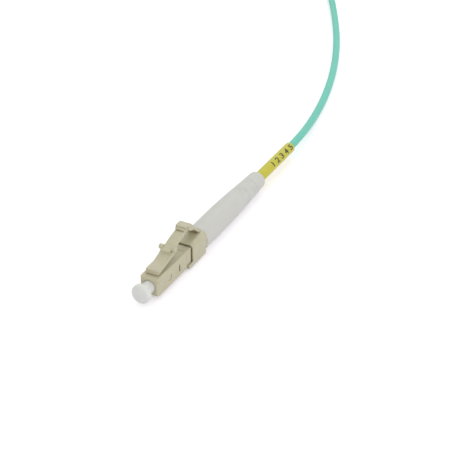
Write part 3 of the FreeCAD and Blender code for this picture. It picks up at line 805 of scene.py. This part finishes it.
def makeTriggerHousing(shell):
    bm = lengthPlate(shell["section"], *shell["span"], shell["edgeRound"], 3)
    bm = combine(bm, "UNION", roundedBlock(*shell["ledge"], shell["ledgeRounds"]))
    bm = combine(bm, "DIFFERENCE", lengthPlate(shell["plugRoom"], *shell["roomSpan"]),
                 block(*shell["rearStep"]), turned(sharp(shell["bore"])), pin(*shell["groove"]))
    obj = evenShading(closeMesh(bm, "triggerHousing", "beigePlastic"))
    return handOver(obj, "plug", "trigger_housing", "trigger_housing")


makeTriggerHousing(triggerHousing)

lever = {
    "outline": (     # y, z and radius of each corner, seen from the side
        (14.5, 7.3, 0.04), (14.5, 7.65, 0.22), (16.6, 7.65, 0.9), (21.35, 3.08, 0.1), (21.35, 2.98, 0),
        (20.55, 2.98, 0), (20.3, 3.26, 0.2), (18.0, 5.25, 0.8), (16.75, 5.45, 0.4), (16.0, 6.2, 0.3),
        (15.6, 6.85, 0.3)),
    "width": 2.64,
    "edgeRound": 0.08,
    "web": (     # a thin wall under the strap
        (16.2, 6.3, 0), (16.8, 5.35, 0.2), (18.15, 5.05, 0.3), (19.95, 3.3, 0.15), (20.35, 3.05, 0),
        (20.3, 3.7, 0), (17.2, 6.5, 0)),
    "webWidth": 0.5,
    "webRound": 0.03,
    "cheek": (     # under each side of the head
        (14.5, 7.35, 0), (14.5, 6.93, 0.05), (15.6, 6.6, 0.1), (15.9, 6.6, 0), (15.8, 7.1, 0)),
    "cheekWidth": 0.15,
    "cheekRound": 0.02,
    "barrel": (0.3, 20.85, 2.75, 1.32),     # radius, y, z and half width
}


def makeLever(arm):
    bm = sidePlate(arm["outline"], arm["width"], arm["edgeRound"])
    join(bm, sidePlate(arm["web"], arm["webWidth"], arm["webRound"]))
    join(bm, *onBothSides(lambda: sidePlate(arm["cheek"], arm["cheekWidth"], arm["cheekRound"]),
                          (arm["width"] - arm["cheekWidth"]) / 2))
    join(bm, pin(*arm["barrel"]))
    obj = evenShading(closeMesh(bm, "lever", "beigePlastic"))
    return handOver(obj, "trigger", "trigger_lever", "trigger_lever")


makeLever(lever)
print("moulded parts made")

cap = {
    "outline": (     # y, distance from the axis and rounding
        (2.5, 0.85, 0.0), (2.5, 1.5, 0.15), (-2.6, 1.5, 0.28), (-2.6, 2.35, 0.34), (-3.97, 2.35, 0.72),
        (-4.12, 0, 0), (-1.9, 0, 0), (-1.9, 0.645, 0.05), (2.3, 0.645, 0)),
    "steps": 72,
    "crease": 40,
}


def makeCap(shape):
    bm = turned(shape["outline"], shape["steps"])
    return handOver(closeMesh(bm, "dustCap", "capPlastic", shape["crease"]), "cap", "dust_cap", "dust_cap")


makeCap(cap)

ferrule = {
    "outline": (     # y, distance from the axis and rounding
        (-1.6, 0.064, 0.0), (-1.6, 0.4, 0.04), (-1.38, 0.622, 0.05), (4.8, 0.622, 0.0), (4.8, 0.25, 0.0),
        (4.3, 0.064, 0.0)),
    "crease": 25,
}


def makeFerrule(shape):
    bm = turned(shape["outline"])
    obj = closeMesh(bm, "ferruleRod", "zirconia", shape["crease"])
    return handOver(obj, "ferrule_group", "ferrule", "ferrule")


makeFerrule(ferrule)

boot = {
    "collar": ((18.7, 1.8), (18.7, 2.1), (21.95, 2.1)),     # y and distance from the axis, inside the housing
    "front": (21.95, 3.0, 0.3),     # y, distance from the axis and rounding
    "taper": ((31.0, 3.0), (38.45, 2.875), (46.35, 2.535), (52.85, 2.25)),
    "ringSpacing": 1.2,
    "end": (53.55, 0.7),     # y and rounding
    "endAngles": (15, 30, 45, 60, 75, 90),
    "bore": ((53.55, 1.05), (29.05, 1.05), (29.05, 1.32), (26.15, 1.32), (24.95, 1.8)),
    "slits": ((10.85, 135.0), (9.7, 45.0), (6.35, 135.0), (5.0, 45.0)),     # from the end, and the turn
    "slitWidth": 0.065,
    "slitClear": 0.3,     # no ring of the taper is nearer than this to the middle of a slit
    "slitReach": 0.02,     # the middles of a slit's faces are no farther than this from its own
    "slitAngle": 140.0,
    "slitCore": 1.6,     # distance from the axis to the floor of a slit
    "boreLimit": 2,     # faces nearer to the axis belong to the bore
    "steps": 144,
    "crease": 50,
}


def taperRadius(shape, y):     # a smooth line through the taper's points
    points = shape["taper"]
    if y <= points[0][0]:
        return points[0][1]
    slopes = [0.0]
    for before, after in zip(points, points[2:]):
        slopes.append((after[1] - before[1]) / (after[0] - before[0]))
    slopes.append((points[-1][1] - points[-2][1]) / (points[-1][0] - points[-2][0]))
    for index, (first, second) in enumerate(zip(points, points[1:])):
        if y <= second[0]:
            run = second[0] - first[0]
            share = (y - first[0]) / run
            return ((2 * share ** 3 - 3 * share ** 2 + 1) * first[1]
                    + (share ** 3 - 2 * share ** 2 + share) * run * slopes[index]
                    + (3 * share ** 2 - 2 * share ** 3) * second[1]
                    + (share ** 3 - share ** 2) * run * slopes[index + 1])
    return points[-1][1]


def bootRings(shape):     # y of the taper's rings, with two close together at each slit
    frontY, frontRadius, frontRound = shape["front"]
    rings = set()
    y = frontY + 2 * frontRound
    while y < shape["taper"][-1][0]:
        rings.add(round(y, 3))
        y += shape["ringSpacing"]
    for fromEnd, turn in shape["slits"]:
        middle = shape["end"][0] - fromEnd
        rings = {ring for ring in rings if abs(ring - middle) > shape["slitClear"]}
        rings |= {middle - shape["slitWidth"] / 2, middle + shape["slitWidth"] / 2}
    return sorted(rings)


def bootOutline(shape):
    endY, endRound = shape["end"]
    lastY, lastRadius = shape["taper"][-1]
    outline = sharp(shape["collar"])
    outline.append(shape["front"])
    outline += [(y, taperRadius(shape, y), 0) for y in bootRings(shape)]
    outline.append((lastY, lastRadius, 0))
    for angle in shape["endAngles"]:
        turn = math.radians(angle)
        back, inwards = endRound * (1 - math.sin(turn)), endRound * (1 - math.cos(turn))
        outline.append((endY - back, lastRadius - inwards, 0))
    return outline + sharp(shape["bore"])


def slitFaces(bm, shape, middle, turn):     # the faces between a slit's two rings
    found = []
    for face in bm.faces:
        spot = face.calc_center_median()
        off = (math.degrees(math.atan2(spot.z, spot.x)) - turn + 540) % 360 - 180
        inSlit = abs(spot.y - middle) <= shape["slitReach"] and abs(off) < shape["slitAngle"] / 2
        if inSlit and math.hypot(spot.x, spot.z) >= shape["boreLimit"]:
            found.append(face)
    return found


def cutSlits(bm, shape):
    for fromEnd, turn in shape["slits"]:
        middle = shape["end"][0] - fromEnd
        deep = shape["slitCore"] / taperRadius(shape, middle)
        for side in (0, 180):
            lips = slitFaces(bm, shape, middle, turn + side)
            grown = bmesh.ops.extrude_face_region(bm, geom=lips)["geom"]
            bmesh.ops.scale(bm, vec=(deep, 1, deep), verts=pointsOf(grown))
            old = [face for face in lips if face.is_valid]
            if old:
                bmesh.ops.delete(bm, geom=old, context="FACES_ONLY")


def makeBoot(shape):
    bm = turned(bootOutline(shape), shape["steps"])
    cutSlits(bm, shape)
    obj = closeMesh(bm, "boot", "bootRubber", shape["crease"])
    return handOver(obj, "plug", "strain_boot", "strain_boot")


makeBoot(boot)
print("cap and boot made")

marker = {
    "outline": (     # y, distance from the axis and rounding
        (53.65, 1.05, 0.09), (53.65, 1.4, 0.09), (72.15, 1.4, 0.09), (72.15, 1.05, 0.09)),
    "steps": 72,
    "crease": 40,
    "digits": "12345",
    "typeSize": 2.17,
    "bolder": 0.07,
    "spacing": 2.56,    # from one digit to the next, along the sleeve
    "firstDigit": 60.55,
    "widen": 1.4,
    "turn": 50.0,     # where the digits' middle lies round the sleeve, from the right towards the top
    "digitRadius": 1.412,     # just proud of the sleeve
    "facet": 0.12,     # the digits are cut into facets of this width, so that they lie round the sleeve
    "cuts": 7,     # to each side of their middle
    "digitCrease": 60,
}


def makeSleeve(sleeve):
    bm = turned(sleeve["outline"], sleeve["steps"])
    obj = closeMesh(bm, "markerSleeve", "markerVinyl", sleeve["crease"])
    return handOver(obj, "plug", "marker_sleeve", "marker_sleeve")


def flatDigit(sleeve, sign):
    text = bpy.data.curves.new("digit", "FONT")
    text.body = sign
    text.align_x = "CENTER"
    text.size = sleeve["typeSize"]
    text.offset = sleeve["bolder"]
    holder = newObject("digit", text)
    bpy.context.view_layer.update()
    seen = holder.evaluated_get(bpy.context.evaluated_depsgraph_get())
    bm = bmesh.new()
    bm.from_mesh(bpy.data.meshes.new_from_object(seen))
    bpy.data.objects.remove(holder)
    return bm


def makeDigits(sleeve):
    bm = bmesh.new()
    for index, sign in enumerate(sleeve["digits"]):
        digit = flatDigit(sleeve, sign)
        top = max(vert.co.y for vert in digit.verts)
        bmesh.ops.scale(digit, verts=digit.verts[:], vec=(sleeve["widen"], 1, 1))
        join(bm, shift(digit, (sleeve["firstDigit"] + index * sleeve["spacing"], -top / 2, 0)))
    bmesh.ops.remove_doubles(bm, verts=bm.verts[:], dist=2 * mergeGap)
    for cut in range(-sleeve["cuts"], sleeve["cuts"] + 1):
        bmesh.ops.bisect_plane(bm, geom=bm.verts[:] + bm.edges[:] + bm.faces[:], plane_no=(0, 1, 0),
                               plane_co=(0, cut * sleeve["facet"], 0))
    radius = sleeve["digitRadius"]
    for vert in bm.verts:
        turn = math.radians(sleeve["turn"]) + vert.co.y / radius
        vert.co = (radius * math.cos(turn), vert.co.x, radius * math.sin(turn))
    return handOver(closeMesh(bm, "digits", "digitInk", sleeve["digitCrease"]), "plug", "marker_sleeve")


markerPieces = [makeSleeve(marker), makeDigits(marker)]
print("sleeve and digits made")

floor = {
    "level": -3.02,
    "size": 3000.0,
    "colour": (0.865, 0.845, 0.875),
    "shade": 0.995,     # of the colour, where it is darkest
    "cloudSize": 40.0,
    "rough": 0.9,
    "shine": 0.1,
    "lift": 0.35,     # whitens it to the camera, in reflections and through clear parts
    "crease": 32,
}


def makeFloor(ground):
    bm = bmesh.new()
    bmesh.ops.create_grid(bm, x_segments=1, y_segments=1, size=ground["size"] / 2 * mm)
    shift(bm, (0, 0, ground["level"] * mm))
    material, tree, shader, spots = nodeMaterial("floorPaper")
    dark = [tone * ground["shade"] for tone in ground["colour"]]
    lift = addNode(tree, "ShaderNodeMath", {1: ground["lift"]})
    lift.operation = "MULTIPLY"
    feed(tree, lift, {0: anyRay(tree, ("Is Camera Ray", "Is Glossy Ray", "Is Transmission Ray"))})
    feed(tree, shader, {
        "Base Color": tint(tree, speckle(tree, spots, ground["cloudSize"]), dark, ground["colour"]),
        "Emission Strength": lift.outputs[0],
    })
    setInputs(shader, {
        "Roughness": ground["rough"],
        "Specular IOR Level": ground["shine"],
        "Emission Color": (1, 1, 1, 1),
    })
    shadedObject(asMesh(bm, "floor"), "floor", material, ground["crease"])


lampAim = (0, 20, 0)
lamps = {
    "back": {"spot": (-80, 330, 300), "size": 400, "watts": 0.38, "colour": (1.0, 1.0, 1.0)},
    "right": {"spot": (360, -40, 160), "size": 300, "watts": 0.14, "colour": (1.0, 0.93, 1.08)},
    "corner": {"spot": (250, -270, 110), "size": 300, "watts": 0.28, "colour": (1.0, 0.93, 1.08)},
}


def makeLamps(kinds):
    for name, kind in kinds.items():
        data = bpy.data.lights.new(name, "AREA")
        data.size = kind["size"] * mm
        data.energy = kind["watts"]
        data.color = kind["colour"]
        lamp = newObject(name, data)
        spot = Vector(kind["spot"]) * mm
        lamp.location = spot
        lamp.rotation_euler = (spot - Vector(lampAim) * mm).to_track_quat("Z", "Y").to_euler()


room = {"light": 0.77, "seen": 1.0}     # its strength as light, and where the camera or a reflection shows it


def makeWorld(surround):
    world = bpy.data.worlds.new("softRoom")
    world.use_nodes = True
    tree = world.node_tree
    background = tree.nodes["Background"]
    setInputs(background, {"Color": (1, 1, 1, 1)})
    seen = anyRay(tree, ("Is Camera Ray", "Is Glossy Ray"))
    feed(tree, background, {"Strength": between(tree, seen, surround["light"], surround["seen"])})
    bpy.context.scene.world = world


makeFloor(floor)
makeLamps(lamps)
makeWorld(room)
bpy.context.scene.view_settings.view_transform = "Standard"
print("floor and light set")

innerFinishes = {     # parts that keep their solids
    "ferrule_flange": "nickelPlate",
    "bare_fibre": "fibreGlass",
    "ferrule_spring": "springSteel",
    "guide_tube": "guidePlastic",
    "tight_buffer": "bufferVinyl",
    "aramid_yarn": "yarnFibres",
    "crimp_sleeve": "crimpMetal",
    "cable_jacket": "jacketVinyl",
}


def finishSolids(choices):
    for node, finish in choices.items():
        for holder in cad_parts[node].material_slots:
            holder.material = finishes[finish]


finishSolids(innerFinishes)
print("inner parts finished")
